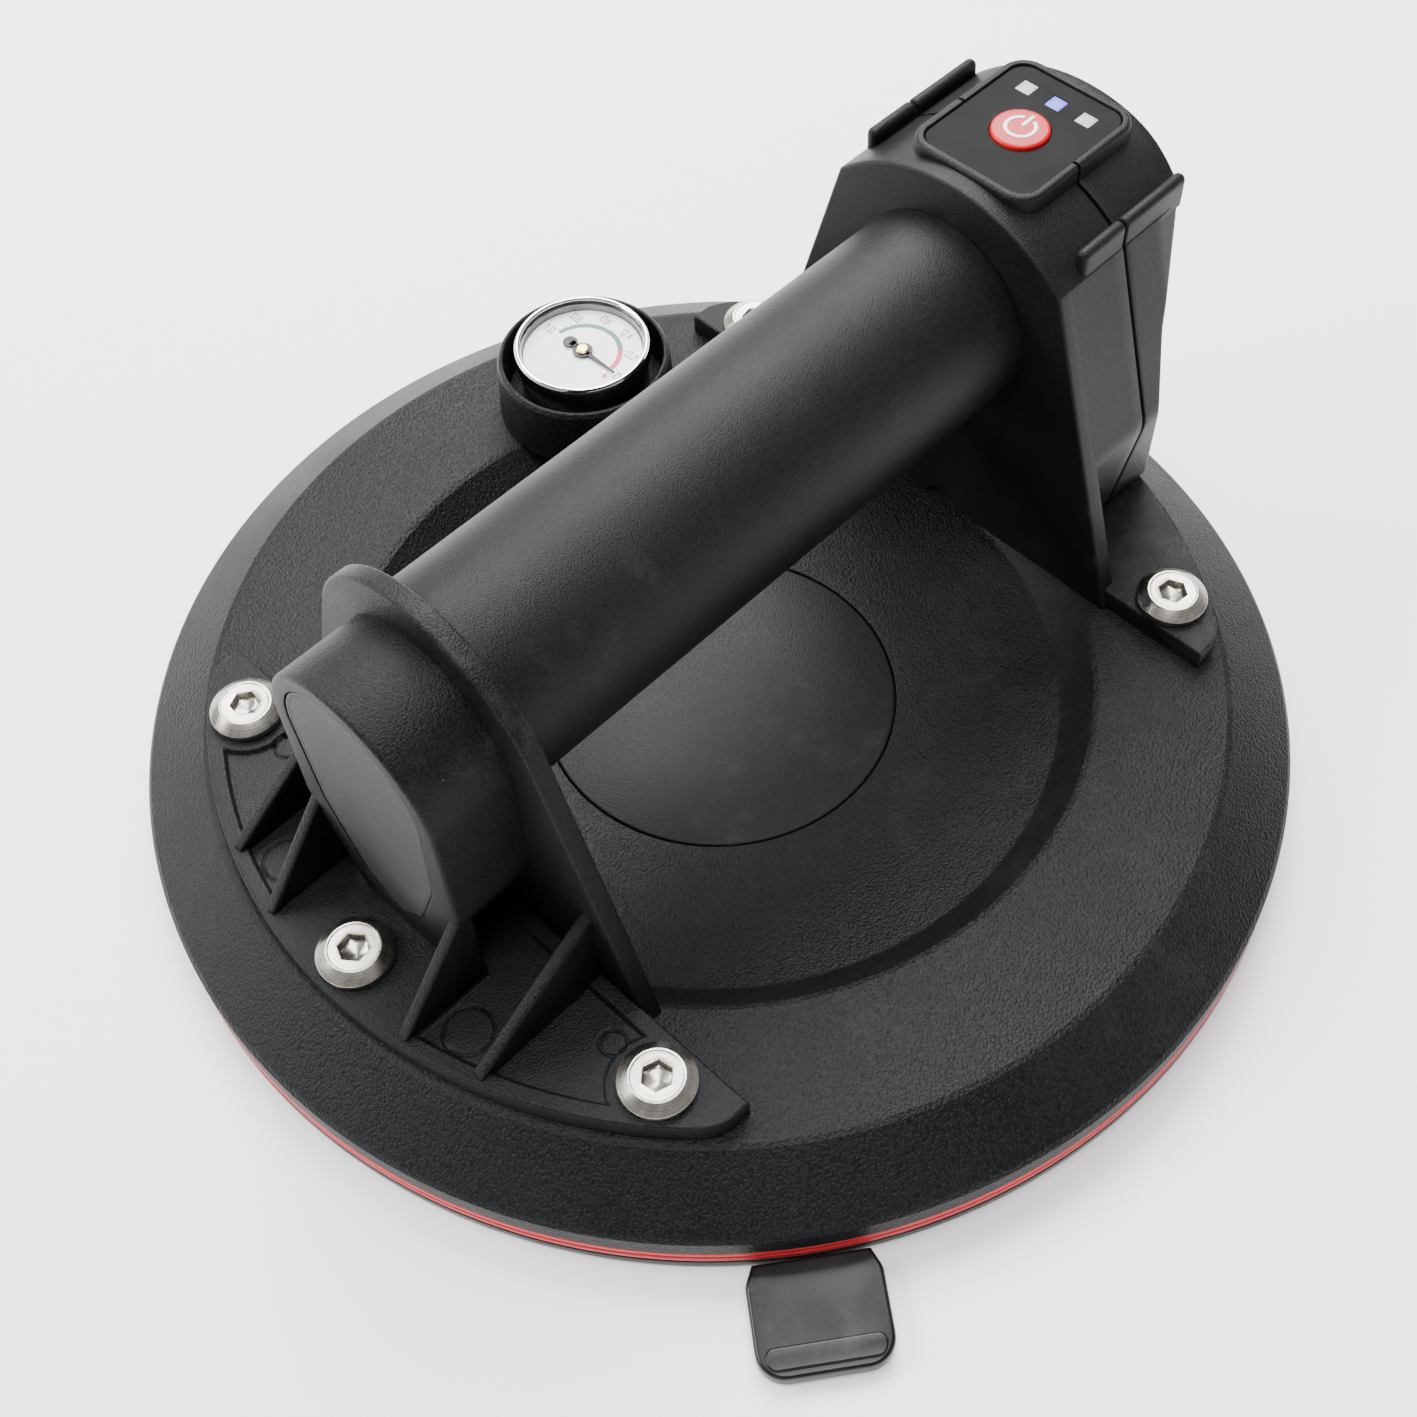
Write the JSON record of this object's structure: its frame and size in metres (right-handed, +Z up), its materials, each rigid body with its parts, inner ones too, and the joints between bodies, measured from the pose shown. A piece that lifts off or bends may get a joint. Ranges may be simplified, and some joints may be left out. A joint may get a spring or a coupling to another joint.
{
  "type": "battery vacuum suction lifter",
  "caption": "Round vacuum suction cup with a bridge handle, motor pump, control pod with power button, vacuum gauge and rubber release tab",
  "frame": {"origin": "centre of the cup on the plane of its contact lip", "axes": "+Z up away from the gripped surface, +X along the handle towards the control housing, +Y towards the gauge"},
  "size_m": [0.2, 0.2, 0.0903],
  "materials": {
    "textured_plastic": "leather-grained moulded plastic",
    "housing_plastic": "fine matte moulded plastic",
    "label_film": "fine-grained film",
    "badge_plastic": "smooth satin plastic",
    "red_rubber": "smooth elastomer",
    "black_rubber": "soft satin rubber",
    "screw_steel": "turned stainless steel",
    "panel_film": "satin black overlay",
    "button_red": "moulded, slightly glossy",
    "mark_white": "printed white",
    "led_white": "diffusing light guide",
    "led_blue": "lit light guide",
    "chrome": "polished plate",
    "lens": "clear lens",
    "dial_white": "white enamel with printed scale",
    "pointer_black": "thin enamel",
    "brass": "turned",
    "circuit_green": "solder mask",
    "chip_black": "moulded package",
    "battery_blue": "shrink sleeve",
    "foam": "closed-cell foam",
    "motor_can": "drawn steel",
    "pump_plastic": "natural nylon",
    "silicone": "milky silicone",
    "filter_sponge": "open-cell sponge"
  },
  "bodies": {
    "lifter": {"base_plate": "textured_plastic", "centre_badge": "badge_plastic", "red_seal_ring": "red_rubber", "rubber_lip": "black_rubber", "foot_screws": "screw_steel", "screw_inserts": "brass", "front_bracket": "housing_plastic", "front_label": "label_film", "handle_tube": "housing_plastic", "tube_seals": "black_rubber", "rear_bracket": "housing_plastic", "rear_cover": "housing_plastic", "cover_screws": "screw_steel", "control_panel": "panel_film", "control_board": "circuit_green", "board_chips": "chip_black", "tact_switch": "chip_black", "status_leds": "led_white", "blue_led": "led_blue", "usb_socket": "motor_can", "battery_cell": "battery_blue", "battery_spacers": "foam", "battery_leads": "red_rubber", "pump_motor": "motor_can", "motor_sleeve": "black_rubber", "pump_head": "pump_plastic", "pump_diaphragm": "black_rubber", "check_valve": "pump_plastic", "air_hose": "silicone", "port_nipple": "brass", "port_oring": "black_rubber", "intake_filter": "filter_sponge", "filter_cover": "badge_plastic", "gauge_boss": "housing_plastic", "gauge_case": "motor_can", "gauge_bezel": "chrome", "gauge_lens": "lens", "gauge_dial": "dial_white", "gauge_stop": "pointer_black", "bourdon_tube": "brass", "gauge_stem": "brass", "gauge_nut": "brass"},
    "tab": {"release_tab": "black_rubber"},
    "button": {"power_button": "button_red", "power_mark": "mark_white", "switch_plunger": "chip_black"},
    "pointer": {"gauge_pointer": "pointer_black", "gauge_hub": "brass"},
    "rotor": {"pump_rotor": "screw_steel"},
    "flap": {"port_flap": "black_rubber"}
  },
  "joints": [
    {"name": "tab_lift", "type": "hinge", "parent": "lifter", "child": "tab", "pos_m": [-0.06181, -0.07912, 0.0039], "axis": [-0.788, 0.6157, 0], "range_deg": [0, 40], "stiffness_Nm_per_rad": 0.02},
    {"name": "button_press", "type": "slide", "parent": "lifter", "child": "button", "axis": [0, 0, -1], "range_m": [0, 0.0006], "stiffness_N_per_m": 900},
    {"name": "pointer_sweep", "type": "hinge", "parent": "lifter", "child": "pointer", "pos_m": [0.0287, 0.0631, 0.03], "axis": [0, 0, 1], "range_deg": [0, 180]},
    {"name": "motor_spin", "type": "hinge", "parent": "lifter", "child": "rotor", "pos_m": [-0.035, 0, 0.0643], "axis": [1, 0, 0], "continuous": true},
    {"name": "flap_swing", "type": "hinge", "parent": "lifter", "child": "flap", "pos_m": [0.08242, 0, 0.06738], "axis": [0, 1, 0], "range_deg": [0, 110]}
  ]
}
